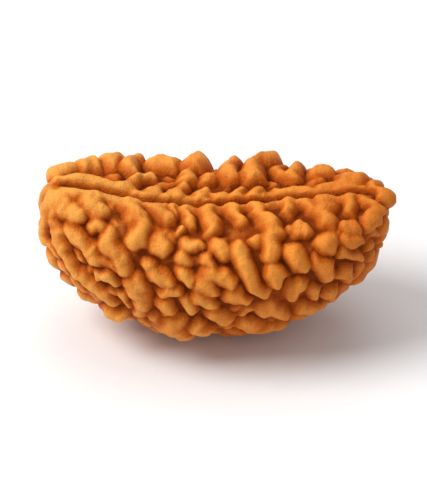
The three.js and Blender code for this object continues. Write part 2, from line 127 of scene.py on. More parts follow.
# Ridges of the front and the skyline: half width, rise, then points (across, up) along the crest, as
# drawn in that view. A single point is a round knob.
DRAWN_RIDGES = (
    # lip behind the groove
    (0.6, 0.95, (-6.2, 11.1), (-6.8, 10.95), (-7.9, 11.2), (-9, 11.5), (-10.2, 11.6), (-11.4, 11.4)),
    (0.55, 0.95, (-6.2, 11.15), (-5.6, 11.7), (-4.7, 11.8)),
    (0.65, 0.95, (-4.9, 10.3), (-4.3, 10.8)),
    (0.55, 0.9, (-3.5, 10.2), (-3.2, 10.5)),
    (0.55, 1, (-2.8, 10.3), (-2.3, 10.9), (-2, 11.4)),
    (0.65, 0.95, (-1.2, 10.1), (-0.8, 10.6)),
    (0.6, 0.9, (0, 10.2), (0.6, 10.4)),
    (0.65, 0.95, (1.5, 10.1), (1.9, 10.7)),
    (0.7, 0.95, (2.7, 10.1), (3.1, 10.8)),
    (0.55, 0.8, (4.4, 10.6), (5.6, 10.8), (6.6, 10.9)),
    (0.6, 0.8, (7.6, 10.95), (8.7, 11.2)),
    (0.55, 0.8, (9.6, 10.9), (10.6, 10.9)),
    (0.5, 0.7, (11.3, 10.9), (12.2, 10.7)),
    (0.45, 1, (12.2, 10.6), (12.9, 10.2)),
    # second rank, along the skyline
    (0.6, 1.4, (-10.7, 12.4), (-11.7, 12)),
    (0.65, 1.45, (-9.8, 12.5), (-8.9, 12.6)),
    (0.8, 1.65, (-7.9, 12.8), (-7.1, 12.9)),
    (0.65, 1.6, (-6.4, 12.3), (-5.6, 12.8)),
    (0.95, 1.5, (-4.2, 12.5), (-3.2, 12.4)),
    (0.55, 0.5, (-3.8, 11.3), (-3, 11.3)),
    (0.65, 1.2, (-2.1, 11.4), (-1.7, 12.1)),
    (0.95, 1.7, (-1.5, 12.4), (-1.2, 12.9)),
    (0.6, 0.9, (-0.8, 11.5), (0, 11.9)),
    (0.5, 0.5, (-0.1, 12.4)),
    (0.8, 1.5, (0.9, 11.7), (1.4, 12.5)),
    (0.85, 1.75, (2.5, 11.6), (3.2, 12.4), (4.2, 12.9)),
    (0.75, 1, (4.4, 12.2), (4.8, 11.9)),
    (0.65, 1.25, (5.5, 11.7), (5.9, 12.3)),
    (0.7, 1.15, (7.4, 12.1), (8.2, 12.1)),
    (0.55, 0.7, (7, 11.3), (7.6, 11.6)),
    (0.95, 1.05, (9.5, 11.5), (10.2, 11.5)),
    (0.55, 0.8, (11.4, 11.3)),
    # teeth that hang from the lip in front of the groove
    (0.5, 0.8, (-10.2, 10.5), (-11.3, 10.5), (-12.1, 10.4)),
    (0.95, 0.95, (-8.9, 10.1), (-8.5, 9.4)),
    (0.4, 0.4, (-7.3, 8.3)),
    (0.4, 0.5, (-7.5, 9.7)),
    (0.8, 1, (-6, 9.9), (-5.6, 8.8), (-5.4, 7.7), (-5.9, 7)),
    (0.85, 0.95, (-4.2, 9.5), (-3.5, 8.9)),
    (0.5, 0.9, (-3.1, 9.6), (-3, 9.1)),
    (0.6, 0.9, (-2.1, 9.5), (-1.9, 8.5)),
    (0.35, 0.8, (-2.45, 7.9)),
    (0.75, 1, (-0.6, 9.7), (-0.3, 8.6), (-0.2, 8)),
    (0.7, 0.95, (1.1, 9.7), (1.7, 8.7)),
    (0.65, 0.95, (2.8, 9.8), (3.4, 8.8)),
    (0.75, 1.1, (3.8, 8.6), (4.1, 7.4), (4, 6.4), (3.9, 6)),
    (0.68, 1, (5.2, 10), (5.2, 9.2)),
    (0.5, 0.8, (6.6, 10), (7, 9.3)),
    (0.95, 1, (7.8, 10.1), (7.8, 9.4), (8, 8.7)),
    (0.55, 1, (9.7, 10.2), (9.6, 9.2)),
    (0.45, 0.85, (10.7, 10), (11.5, 9.7)),
    (0.35, 0.8, (11.1, 8.9), (12, 9.1)),
    (0.4, 0.85, (11.2, 8.1), (12, 8.2)),
    # left end, where long ridges sweep from the tip round the belly
    (0.7, 0.95, (-12.4, 9.2), (-12.7, 8), (-12.7, 6.9)),
    (0.5, 0.65, (-12.3, 6.4), (-11.8, 5.7)),
    (0.5, 0.6, (-11.4, 5), (-11, 4.3)),
    (0.5, 0.6, (-10.6, 3.7), (-10, 3.1)),
    (0.5, 0.8, (-11.3, 10), (-11.2, 9.2), (-11, 8.7)),
    (0.6, 0.9, (-12.1, 9.8), (-12, 8.9), (-11.8, 7.4), (-11.3, 6), (-10.8, 5), (-10.2, 4.2)),
    (0.5, 0.6, (-10.5, 9.7)),
    (0.7, 0.95, (-10.3, 8.75), (-10, 8.65)),
    (0.68, 1, (-10.4, 7.2), (-9.8, 6.6), (-9.2, 5.9), (-8.7, 5.3)),
    (0.5, 0.8, (-8.8, 8.05), (-8.3, 7.95)),
    (0.7, 1, (-8, 6.7), (-7.5, 6), (-7.1, 5.3), (-6.7, 4.6)),
    (0.6, 0.8, (-8.3, 5.2), (-7.5, 4.9)),
    (0.35, 0.7, (-8.75, 4.4), (-8.7, 3.9)),
    (0.6, 0.85, (-8, 4.2), (-7.5, 3.7)),
    (0.6, 0.85, (-9.8, 4), (-9.1, 3.3), (-8.4, 2.7), (-7.8, 2.2)),
    (0.7, 1.2, (-7.7, 1.5), (-7, 1.3)),
    (0.45, 0.7, (-6.9, 2.7), (-6.4, 1.9)),
    (0.7, 0.95, (-6.1, 3.6), (-5.6, 2.8), (-5.5, 2), (-5.6, 1.5)),
    # middle of the front
    (0.5, 0.45, (-4.1, 7.8), (-3.2, 7.3)),
    (0.65, 1, (-4.1, 6.5), (-3.7, 6.3)),
    (0.5, 0.7, (-2.1, 6.6), (-1.1, 6.7)),
    (0.6, 0.85, (-2.4, 5.5)),
    (0.7, 0.9, (0.3, 6.4), (0.6, 6.1)),
    (0.5, 0.8, (-0.6, 5.4), (-0.3, 5.1)),
    (0.6, 0.9, (-0.5, 4.4), (0.5, 4.1), (1.1, 3.6)),
    (0.75, 0.95, (-0.9, 3.5), (-0.3, 3.2)),
    (0.66, 1.05, (1.7, 6.3), (2, 5.2), (2.3, 4.3), (2.8, 3.4), (3.6, 2.9)),
    (0.74, 1.1, (4.3, 4.3), (4.3, 3.8)),
    (0.6, 0.9, (2.9, 7)),
    (0.75, 0.9, (1.3, 2.6), (2, 2.4)),
    (0.7, 0.9, (-1.2, 2.6), (-0.4, 2.1)),
    (0.7, 0.9, (0, 1.2), (0.8, 0.8)),
    (0.6, 0.85, (-4.9, 4.9)),
    (0.6, 0.9, (-4.4, 4.2), (-3.4, 3.7)),
    (0.6, 0.9, (-3.6, 3), (-2.9, 3)),
    (0.6, 0.9, (-2.3, 4.3), (-1.9, 3.7)),
    (0.6, 0.9, (-4.6, 1.2), (-4.2, 0.8)),
    (0.6, 0.9, (-3.9, 2), (-3.4, 1.5)),
    (0.6, 0.9, (-2.1, 2.2), (-1.8, 1.5)),
    (1.1, 1.35, (-3.4, 0.6), (-2.4, 0.05)),
    (0.75, 1.1, (-1.6, 0.3), (-0.7, 0.1)),
    # right end, where the warts are round knobs
    (0.6, 1.05, (6.1, 7.9), (6.5, 7.8)),
    (0.4, 0.6, (5.3, 8)),
    (0.78, 1.2, (8, 6.75)),
    (0.3, 0.5, (8.9, 7.6)),
    (0.36, 0.85, (9.3, 8), (10.3, 7.9)),
    (0.42, 0.9, (9.6, 6.75), (10.6, 6.85)),
    (0.4, 0.6, (11.7, 7.3), (12, 7.1)),
    (0.5, 0.75, (11.5, 6.3)),
    (0.4, 0.75, (12.3, 6.3)),
    (0.42, 0.85, (9.3, 5.75), (10, 5.6), (10.7, 5.4)),
    (0.45, 0.75, (11.5, 5.5)),
    (0.7, 1.05, (5.7, 5.8), (5.95, 5.4), (6.3, 5)),
    (0.72, 1.15, (8, 4.7), (8.2, 4.1)),
    (0.6, 0.85, (9.6, 4.4), (9.8, 3.8)),
    (0.75, 1, (5.9, 3.2), (5.6, 2.6)),
    (0.5, 0.8, (7.3, 3.1), (7.3, 2.6)),
    (0.5, 0.9, (8.5, 2.9), (8.6, 2.4)),
    (0.7, 0.9, (3.6, 1.6), (4.5, 1.4), (5.1, 1.2)),
    (0.6, 0.95, (6.4, 1.7), (7.2, 1.7)),
    (0.6, 0.6, (10.2, 3.9), (10.9, 4.7)),
)


def add_object(name, data):
    """A new object of the scene, which holds this mesh, lamp or camera."""
    made = bpy.data.objects.new(name, data)
    bpy.context.scene.collection.objects.link(made)
    return made


def lens(t, bluntness):
    """Height of a rounded outline that is 1 in the middle and 0 at both tips."""
    return np.maximum(1 - np.abs(t) ** bluntness, 0) ** (1 / bluntness)


def along(t, values):
    """A value that changes smoothly from the left tip over the middle to the right tip."""
    left, middle, right = values
    return middle + (right - left) / 2 * t + ((right + left) / 2 - middle) * t * t


def wander(t):
    """Distance of the groove behind the middle plane."""
    return along(t, DRIFT) * (1 - t * t) + sum(reach * np.sin(turns * t) for reach, turns in WAVES)


def stone(t, turn):
    """Points of the bare stone: t is -1 at the left tip and 1 at the right one, and turn goes round the
    seed from the groove, growing towards the front."""
    t, turn = np.broadcast_arrays(np.asarray(t, float), np.asarray(turn, float))
    level = along(t, WIDEST_LEVEL)
    up, side = np.cos(turn), np.sin(turn)
    rise = (along(t, GROOVE_LEVEL) - level) * lens(t, TOP_BLUNTNESS) * (1 + SHOULDER * side * side)
    drop = (level - BELLY_LEVEL) * lens(t, BELLY_BLUNTNESS)
    depth = -HALF_THICKNESS * lens(t, SIDE_BLUNTNESS) * side + wander(t) * np.maximum(up, 0) ** DRIFT_FADE
    return np.stack([HALF_LENGTH * t, depth, level + up * np.where(up > 0, rise, drop)], axis=-1)


def evenly(points, shares):
    """Where along a line of points these shares of its length lie, as shares of the line's own steps."""
    walked = np.concatenate([[0], np.cumsum(np.linalg.norm(np.diff(points, axis=0), axis=1))])
    return np.interp(np.asarray(shares) * walked[-1], walked, np.linspace(0, 1, len(points))), walked[-1]


def sew(left, right):
    """Facets between two neighbouring rings, going round both at the same pace. Each ring is its first
    point's number and how many points it has. A ring of one point, at a tip, has no edge of its own."""
    facets = []
    i = j = 0
    while i < left[1] or j < right[1]:
        a, b = left[0] + i % left[1], right[0] + j % right[1]
        if j == right[1] or (i < left[1] and (i + 1) / left[1] <= (j + 1) / right[1]):
            i += 1
            if left[1] > 1:
                facets.append((b, a, left[0] + i % left[1]))
        else:
            j += 1
            if right[1] > 1:
                facets.append((b, a, right[0] + j % right[1]))
    return facets


def bare_stone():
    """The bare stone as a closed mesh object."""
    steps = np.linspace(0, 1, STATIONS + 1)
    flank = stone(-np.cos(math.pi * steps), math.pi / 2)
    length = evenly(flank, [0])[1]
    where = evenly(flank, np.linspace(0, 1, round(length / RING_STEP) + 1))[0]
    points, rings, facets = [], [], []
    for t in np.interp(where, steps, flank[:, 0]) / HALF_LENGTH:
        girth = evenly(stone(t, 2 * math.pi * steps), [0])[1]
        count = 1 if abs(t) > TIP else max(FEWEST_ROUND, round(girth / FACET))
        shares = evenly(stone(t, 2 * math.pi * steps), np.arange(count) / count)[0] if count > 1 else [0]
        rings.append((len(points), count))
        points.extend(stone(t, 2 * math.pi * np.asarray(shares)) * MM)
        if len(rings) > 1:
            facets.extend(sew(rings[-2], rings[-1]))
    mesh = bpy.data.meshes.new("bare_stone")
    mesh.from_pydata([tuple(p) for p in points], [], facets)
    mesh.validate()
    return add_object("bare_stone", mesh)


def shifted(p):
    """Where a point of the bare stone is felt to be when it is measured from the crests, so that the
    warts wind."""
    turned = np.roll(p, -1, axis=-1)
    return p + sum(reach * np.sin(turns * turned) for reach, turns in WINDING)


def drawn_point(place):
    """Where a point of the drawing lies on the bare stone: of all turns that face the viewer, the one
    whose crest is drawn nearest to that height. How far the crest leans along the seed is found first
    for a place that ignores it, and then for better ones."""
    across, up = place
    sight = np.array([0, -math.cos(LOOK_DOWN), math.sin(LOOK_DOWN)])
    drawn_up = np.array([0, math.sin(LOOK_DOWN), math.cos(LOOK_DOWN)])
    step = math.pi / SEARCH_STEPS
    turns = np.arange(-math.pi / 2, math.pi, step)
    lean = 0
    for _ in range(AIM_ROUNDS):
        t = min(max((across - CREST * lean) / HALF_LENGTH, -CREST_LIMIT), CREST_LIMIT)
        p = stone(t, turns)
        out = np.cross(stone(t, turns + step) - p, stone(t + AHEAD, turns) - p)
        out /= np.linalg.norm(out, axis=1, keepdims=True)
        miss = np.abs((p + CREST * out) @ drawn_up + DRAWN_ORIGIN - up)
        miss[out @ sight < 0] = np.inf
        best = np.argmin(miss)
        lean = out[best, 0]
    return p[best]


def stretches(half_width, rise, crest):
    """A ridge as straight stretches between crest points: half width, its change along the stretch, rise,
    start and run. The ridge narrows along its crest."""
    ends = crest[1:] if len(crest) > 1 else crest
    change = -2 * TAPER * half_width / len(ends) if len(crest) > 1 else 0
    first = half_width * (1 + TAPER) if len(crest) > 1 else half_width
    return [(first + i * change, change, rise, crest[i], end - crest[i]) for i, end in enumerate(ends)]


def fill_warts(placed):
    """Warts thrown at random at what is still bare. One is kept if it clears all the others."""
    state = FILL_SEED

    def draw():
        nonlocal state
        state = (state * DRAW_FACTOR + DRAW_STEP) % DRAW_RANGE
        return state / DRAW_RANGE

    def mix(pair, share):
        return pair[0] + (pair[1] - pair[0]) * share

    everything = list(placed)
    size = len(everything) + 3 * FILL_TRIES
    widths, starts, runs = np.zeros(size), np.zeros((size, 3)), np.zeros((size, 3))
    used = 0

    def note(rows):
        nonlocal used
        for half_width, _, _, start, run in rows:
            widths[used], starts[used], runs[used] = half_width, start, run
            used += 1

    note(everything)
    ends = np.array([-1, 0, 1])
    for i in range(FILL_TRIES):
        late = i / FILL_TRIES
        t = mix((-CREST_LIMIT, CREST_LIMIT), draw())
        turn = 2 * math.pi * draw()
        half_width = mix(FILL_HALF_WIDTH, late)
        share = mix((FILL_SHORTEST, 1), draw()) * (1 - late)
        half = mix(FILL_LENGTH, (t + 1) / 2) * share / 2
        lean = mix(FILL_LEAN, draw())
        bend = FILL_BEND * (2 * draw() - 1)
        rise = half_width * mix(FILL_STEEPNESS, draw())
        x = np.clip(t + ends * half * np.cos(lean + bend * ends) / HALF_LENGTH, -CREST_LIMIT, CREST_LIMIT)
        around = ends * half * np.sin(lean + bend * ends)
        crest = stone(x, turn + around / (HALF_THICKNESS * lens(x, SIDE_BLUNTNESS)))
        start, run = starts[None, :used], runs[None, :used]
        away = crest[:, None] - start
        squared = np.maximum((run**2).sum(-1), LEAST_SQUARE)
        away -= run * np.clip((away * run).sum(-1) / squared, 0, 1)[..., None]
        room = half_width + widths[:used] - FILL_OVERLAP
        if (np.linalg.norm(away, axis=-1) > room).all():
            new = stretches(half_width, rise, list(crest))
            note(new)
            everything += new
    return everything


def ridge_crests():
    """One point per stretch of ridge, which carries the stretch's run, half width and rise."""
    drawn = []
    for half_width, rise, *crest in DRAWN_RIDGES:
        drawn += stretches(half_width, rise, [shifted(drawn_point(place)) for place in crest])
    rows = fill_warts(drawn)
    mesh = bpy.data.meshes.new("ridge_crests")
    mesh.from_pydata([tuple(row[3] * MM) for row in rows], [], [])
    run = mesh.attributes.new("run", "FLOAT_VECTOR", "POINT")
    run.data.foreach_set("vector", np.array([row[4] for row in rows]).ravel() * MM)
    for name, column in (("half_width", 0), ("widening", 1), ("rise", 2)):
        data = mesh.attributes.new(name, "FLOAT", "POINT").data
        data.foreach_set("value", np.array([row[column] for row in rows]) * MM)
    return add_object("ridge_crests", mesh)


class Wiring:
    """Adds nodes to a tree. Each call takes sockets or plain values and returns an output socket."""

    def __init__(self, tree):
        self.tree = tree

    def add(self, kind, inputs=None, out=0, **settings):
        node = self.tree.nodes.new(kind)
        for name, value in settings.items():
            setattr(node, name, value)
        for name, value in (inputs or {}).items():
            self.feed(node.inputs[name], value)
        return node if out is None else node.outputs[out]

    def feed(self, socket, value):
        if isinstance(value, bpy.types.NodeSocket):
            self.tree.links.new(value, socket)
        else:
            socket.default_value = value

    def math(self, operation, *values):
        return self.add("ShaderNodeMath", dict(enumerate(values)), operation=operation)

    def vector(self, operation, *values):
        inputs = dict(enumerate(values))
        if operation == "SCALE":
            inputs = {0: values[0], "Scale": values[1]}
        out = "Value" if operation in ("DOT_PRODUCT", "LENGTH") else 0
        return self.add("ShaderNodeVectorMath", inputs, out, operation=operation)

    def ramp(self, value, start, end, shape="SMOOTHSTEP"):
        """Goes from 0 where the value is at the start to 1 where it is at the end."""
        inputs = {"Value": value, "From Min": start, "From Max": end}
        return self.add("ShaderNodeMapRange", inputs, interpolation_type=shape)


def socket(tree, name, kind, value=None, output=False):
    """Gives the tree a named input, or output, with its usual value."""
    made = tree.interface.new_socket(name=name, in_out="OUTPUT" if output else "INPUT", socket_type=kind)
    if value is not None:
        made.default_value = value
    return made


# Inputs of the skin's node tree, in metres. A list of three is for the left tip, the middle and the right
# tip. Turns are in radians per metre, and those of the groove's two waves per half length.
SKIN_SIZES = {
    "Half length": HALF_LENGTH * MM,
    "Spread": SPREAD,
    "Join": JOIN * MM,
    "Winding reach": WINDING[0][0] * MM,
    "Winding turns": WINDING[0][1] / MM,
    "Ripple reach": WINDING[1][0] * MM,
    "Ripple turns": WINDING[1][1] / MM,
    "Lump reach": LUMP_REACH * MM,
    "Lump turns": LUMP_TURNS / MM,
    "Lip offset": LIP_OFFSET * MM,
    "Lip half width": LIP_HALF_WIDTH * MM,
    "Lip rise": LIP_RISE * MM,
    "Groove half width": GROOVE_HALF_WIDTH * MM,
    "Groove cut": GROOVE_CUT * MM,
    "Groove fade": GROOVE_FADE * MM,
    "Long wave reach": WAVES[0][0] * MM,
    "Long wave turns": WAVES[0][1],
    "Short wave reach": WAVES[1][0] * MM,
    "Short wave turns": WAVES[1][1],
    "Groove start": GROOVE_START,
    "Groove full": GROOVE_FULL,
    "Groove narrowing": GROOVE_NARROWING,
    "Groove end": GROOVE_END,
    "Foot half width": FOOT_HALF_WIDTH * MM,
    "Foot rise": FOOT_RISE * MM,
    "Crumpling": 0.2 * MM,
    "Crumples per metre": 1500.0,
    "Unevenness": 0.2 * MM,
    "Uneven patches per metre": 1100.0,
    "Grain height": 0.12 * MM,
    "Grains per metre": 2600.0,
    "Hollow reach": 0.27 * MM,
}
SKIN_PLACES = {
    "Widest level": [level * MM for level in WIDEST_LEVEL],
    "Groove drift": [drift * MM for drift in DRIFT],
    "Belly": [0, 0, BELLY_LEVEL * MM],
    "Lowest corner": list(CAD_BOX[0]),
    "Highest corner": list(CAD_BOX[1]),
}
SKIN_NOISE_DETAIL = {"Crumples": 2.0, "Uneven patches": 1.0, "Grains": 3.0}  # finer octaves of each noise
NOISE_MIDDLE = 0.5  # value that a noise varies about
BLUR_STEPS = 45  # over which a point is compared with its surroundings, to tell crests from crevices


def warted_skin_tree(ridge_count):
    """Node tree that raises a stone's skin into warts, lips and a groove."""
    tree = bpy.data.node_groups.new("warted skin", "GeometryNodeTree")
    socket(tree, "Stone", "NodeSocketGeometry")
    socket(tree, "Ridge crests", "NodeSocketObject")
    socket(tree, "Material", "NodeSocketMaterial")
    for name, value in SKIN_SIZES.items():
        socket(tree, name, "NodeSocketFloat", value)
    for name, value in SKIN_PLACES.items():
        socket(tree, name, "NodeSocketVector", value)
    socket(tree, "Skin", "NodeSocketGeometry", output=True)
    w = Wiring(tree)
    given = tree.nodes.new("NodeGroupInput").outputs
    here = w.add("GeometryNodeInputPosition")
    outward = w.add("GeometryNodeInputNormal")

    def dome(away, half_width):
        away = w.math("DIVIDE", away, half_width)
        return w.math("MAXIMUM", w.math("SUBTRACT", 1.0, w.math("MULTIPLY", away, away)), 0.0)

    def store(geometry, name, value, kind="FLOAT"):
        inputs = {"Geometry": geometry, "Name": name, "Value": value}
        return w.add("GeometryNodeStoreNamedAttribute", inputs, data_type=kind, domain="POINT")

    def named(name, kind="FLOAT"):
        return w.add("GeometryNodeInputNamedAttribute", {"Name": name}, data_type=kind)

    def noise(name, out="Fac"):
        inputs = {"Vector": here, "Scale": given[name + " per metre"], "Detail": SKIN_NOISE_DETAIL[name]}
        return w.add("ShaderNodeTexNoise", inputs, out)

    # the warts wind and crumple a little, because they are measured from a place that is shifted
    x, y, z = (w.add("ShaderNodeSeparateXYZ", {"Vector": here}, axis) for axis in range(3))
    turned = w.add("ShaderNodeCombineXYZ", {"X": y, "Y": z, "Z": x})
    felt = here
    for name in ("Winding", "Ripple"):
        shift = w.vector("SINE", w.vector("SCALE", turned, given[name + " turns"]))
        felt = w.vector("ADD", felt, w.vector("SCALE", shift, given[name + " reach"]))
    crumple = w.vector("SUBTRACT", noise("Crumples", "Color"), (NOISE_MIDDLE,) * 3)
    felt = w.vector("ADD", felt, w.vector("SCALE", crumple, given["Crumpling"]))
    skin = store(given["Stone"], "relief", 0.0)
    skin = store(skin, "felt", felt, "FLOAT_VECTOR")

    # each stretch of ridge in turn lifts the relief where it passes
    crests = w.add("GeometryNodeObjectInfo", {"Object": given["Ridge crests"]}, "Geometry")
    entry = tree.nodes.new("GeometryNodeRepeatInput")
    leave = tree.nodes.new("GeometryNodeRepeatOutput")
    entry.pair_with_output(leave)
    leave.repeat_items.clear()
    leave.repeat_items.new("GEOMETRY", "Skin")
    w.feed(entry.inputs["Iterations"], ridge_count)
    w.feed(entry.inputs["Skin"], skin)

    def of_ridge(value, kind="FLOAT"):
        inputs = {"Geometry": crests, "Value": value, "Index": entry.outputs["Iteration"]}
        return w.add("GeometryNodeSampleIndex", inputs, data_type=kind, domain="POINT")

    run = of_ridge(named("run", "FLOAT_VECTOR"), "FLOAT_VECTOR")
    offset = w.vector("SUBTRACT", named("felt", "FLOAT_VECTOR"), of_ridge(here, "FLOAT_VECTOR"))
    run_squared = w.math("MAXIMUM", w.vector("DOT_PRODUCT", run, run), LEAST_SQUARE)
    share = w.math("DIVIDE", w.vector("DOT_PRODUCT", offset, run), run_squared)
    share = w.add("ShaderNodeClamp", {"Value": share})
    away = w.vector("LENGTH", w.vector("SUBTRACT", offset, w.vector("SCALE", run, share)))
    half_width = w.math("MULTIPLY_ADD", of_ridge(named("widening")), share, of_ridge(named("half_width")))
    wart = dome(away, w.math("MULTIPLY", half_width, given["Spread"]))
    wart = w.math("MULTIPLY", wart, of_ridge(named("rise")))
    raised = w.math("SMOOTH_MAX", named("relief"), wart, given["Join"])
    w.feed(leave.inputs["Skin"], store(entry.outputs["Skin"], "relief", raised))

    # the worn knob that the seed stands on
    away = w.vector("LENGTH", w.vector("SUBTRACT", here, given["Belly"]))
    knob = w.math("MULTIPLY", dome(away, given["Foot half width"]), given["Foot rise"])
    relief = w.math("SMOOTH_MAX", named("relief"), knob, given["Join"])

    # the lips and the groove between them, which fade out towards the widest level and run together at
    # both tips
    t = w.math("DIVIDE", x, given["Half length"])
    squared = w.math("MULTIPLY", t, t)
    inner = w.math("SUBTRACT", 1.0, squared)
    left = w.math("MULTIPLY", w.math("SUBTRACT", squared, t), 0.5)
    right = w.math("MULTIPLY", w.math("ADD", squared, t), 0.5)
    shares = w.add("ShaderNodeCombineXYZ", {"X": left, "Y": inner, "Z": right})
    above = w.math("SUBTRACT", z, w.vector("DOT_PRODUCT", shares, given["Widest level"]))
    fade = w.ramp(above, 0.0, given["Groove fade"])
    drift = w.math("MULTIPLY", w.vector("DOT_PRODUCT", shares, given["Groove drift"]), inner)
    behind = w.math("SUBTRACT", y, drift)
    for name in ("Long wave", "Short wave"):
        wave = w.math("SINE", w.math("MULTIPLY", t, given[name + " turns"]))
        behind = w.math("SUBTRACT", behind, w.math("MULTIPLY", wave, given[name + " reach"]))
    away = w.math("ABSOLUTE", behind)
    left_end = w.ramp(t, given["Groove start"], given["Groove full"])
    right_end = w.ramp(t, given["Groove end"], given["Groove narrowing"])
    opening = w.math("MULTIPLY", left_end, right_end)
    crest = w.math("MULTIPLY", given["Lip offset"], opening)
    lip = dome(w.math("SUBTRACT", away, crest), given["Lip half width"])
    lip = w.math("MULTIPLY", w.math("MULTIPLY", lip, given["Lip rise"]), fade)
    relief = w.math("SMOOTH_MAX", relief, lip, given["Join"])
    groove = w.math("DIVIDE", away, given["Groove half width"])
    groove = w.math("EXPONENT", w.math("MULTIPLY", w.math("MULTIPLY", groove, groove), -1.0))
    cut = w.math("MULTIPLY", given["Groove cut"], opening)
    groove = w.math("MULTIPLY", w.math("MULTIPLY", groove, cut), fade)
    relief = w.math("SUBTRACT", relief, groove)

    # lumps along the warts, their unevenness and a fine grain
    waves = w.vector("SINE", w.vector("SCALE", named("felt", "FLOAT_VECTOR"), given["Lump turns"]))
    waves = w.add("ShaderNodeSeparateXYZ", {"Vector": waves}, None)
    lump = w.math("MULTIPLY", waves.outputs[0], w.math("MULTIPLY", waves.outputs[1], waves.outputs[2]))
    relief = w.math("MULTIPLY_ADD", lump, given["Lump reach"], relief)
    uneven = w.math("SUBTRACT", noise("Uneven patches"), NOISE_MIDDLE)
    relief = w.math("MULTIPLY_ADD", uneven, given["Unevenness"], relief)
    grain = w.math("SUBTRACT", noise("Grains"), NOISE_MIDDLE)
    relief = w.math("MULTIPLY_ADD", grain, given["Grain height"], relief)

    # the skin is lifted by its relief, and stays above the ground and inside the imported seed's size
    lift = {"Geometry": leave.outputs["Skin"], "Offset": w.vector("SCALE", outward, relief)}
    lifted = w.add("GeometryNodeSetPosition", lift)
    inside = w.vector("MINIMUM", w.vector("MAXIMUM", here, given["Lowest corner"]), given["Highest corner"])
    trimmed = w.add("GeometryNodeSetPosition", {"Geometry": lifted, "Position": inside})

    # how far each point stands out of its surroundings, from 0 in a crevice to 1 on a crest. The material
    # paints shade into the crevices and a highlight onto the crests by it.
    blur = {"Value": here, "Iterations": BLUR_STEPS}
    blurred = w.add("GeometryNodeBlurAttribute", blur, data_type="FLOAT_VECTOR")
    proud = w.vector("DOT_PRODUCT", w.vector("SUBTRACT", here, blurred), outward)
    reach = given["Hollow reach"]
    proud = w.ramp(proud, w.math("MULTIPLY", reach, -1.0), reach, "LINEAR")
    marked = store(trimmed, "proud", proud)
    marked = w.add("GeometryNodeRemoveAttribute", {"Geometry": marked, "Name": "felt"})
    smooth = w.add("GeometryNodeSetShadeSmooth", {"Geometry": marked})
    plain = w.add("GeometryNodeRealizeInstances", {"Geometry": smooth})
    finished = w.add("GeometryNodeSetMaterial", {"Geometry": plain, "Material": given["Material"]})
    w.feed(tree.nodes.new("NodeGroupOutput").inputs["Skin"], finished)
    return tree


def warted_stone(material):
    """The stone with its warts, lips and groove, as a plain mesh."""
    body = bare_stone()
    crests = ridge_crests()
    tree = warted_skin_tree(len(crests.data.vertices))
    sockets = {item.name: item.identifier for item in tree.interface.items_tree if item.in_out == "INPUT"}
    modifier = body.modifiers.new("warted skin", "NODES")
    modifier.node_group = tree
    modifier[sockets["Ridge crests"]] = crests
    modifier[sockets["Material"]] = material
    for name, value in (SKIN_SIZES | SKIN_PLACES).items():
        modifier[sockets[name]] = value
    evaluated = body.evaluated_get(bpy.context.evaluated_depsgraph_get())
    mesh = bpy.data.meshes.new_from_object(evaluated)
    mesh.name = "warted_stone"
    finished = add_object("warted_stone", mesh)
    for spare in (body, crests):
        spare_mesh = spare.data
        bpy.data.objects.remove(spare)
        bpy.data.meshes.remove(spare_mesh)
    return finished


# Linear colours of the stone. Crest, Flank and Crevice are partly its own tone and partly painted light.
STONE_COLOURS = {
    # Crest: paler partly by the stone's own tone and partly as a painted highlight
    "Crest": (0.85, 0.29, 0.04),
    "Flank": (0.54, 0.108, 0.006),
    # Crevice: darker partly by the stone's own tone and partly as painted shade
    "Crevice": (0.2, 0.032, 0.0015),
    "Floor": (0.38, 0.09, 0.012),
    # the two patch colours also paint light: amber makes the left end's crests paler as painted light, red
    # makes the right end's darker as painted shade
    "Red patch and painted shade": (0.5, 0.09, 0.006),
    "Amber patch and painted light": (0.88, 0.41, 0.085),
}

# Other inputs of the colouring. A share says how much of a colour is laid over the rest.
TINT_AMOUNTS = {
    "Patches per metre": 330.0,
    "Flecks per metre": 3400.0,
    "Grains per metre": 8500.0,
    "Wandering": 0.35,
    "Floor share": 0.6,
    "Red patch and painted shade share": 0.45,
    "Amber patch and painted light share": 0.4,
    "Left end painted light share": 0.55,
    "Right end painted shade share": 0.4,
    "Fleck share": 0.12,
    "Grain contrast": 0.4,
    "Crest roughness": 0.42,
    "Crevice roughness": 0.75,
    "Roughness mottling": 0.3,
}
TINT_NOISE_DETAIL = {"Patches": 3.0, "Flecks": 4.0, "Grains": 2.0}

# Where one shade turns into the next. The first four say how far the skin stands out of its surroundings,
# from 0 in a crevice to 1 on a crest.
# the first two of these paint shade into the crevices and a highlight onto the crests, besides the stone's
# own change of tone
CREVICE_TO_FLANK = (0.12, 0.5)
FLANK_TO_CREST = (0.42, 0.98)
HOLLOW_TO_FLOOR = (0.2, 0.45)
OILED_TO_DRY = (0.7, 0.2)
RED_PATCHES = (0.5, 0.75)  # these three of the noise that makes them
AMBER_PATCHES = (0.5, 0.28)
FLECKS = (0.54, 0.72)
WART_TO_FLOOR = (0.45 * MM, 0.25 * MM)  # heights of the relief
# the left end's crests are painted paler as painted light, the right end's darker as painted shade
LEFT_END_PAINTED_LIGHT = (4 * MM, -12 * MM)  # places along the seed
RIGHT_END_PAINTED_SHADE = (2 * MM, 12 * MM)

# Sockets of a Mix node that mixes colours, which share their names with those for plain numbers
MIX_BELOW = 6
MIX_ABOVE = 7
MIX_RESULT = 2


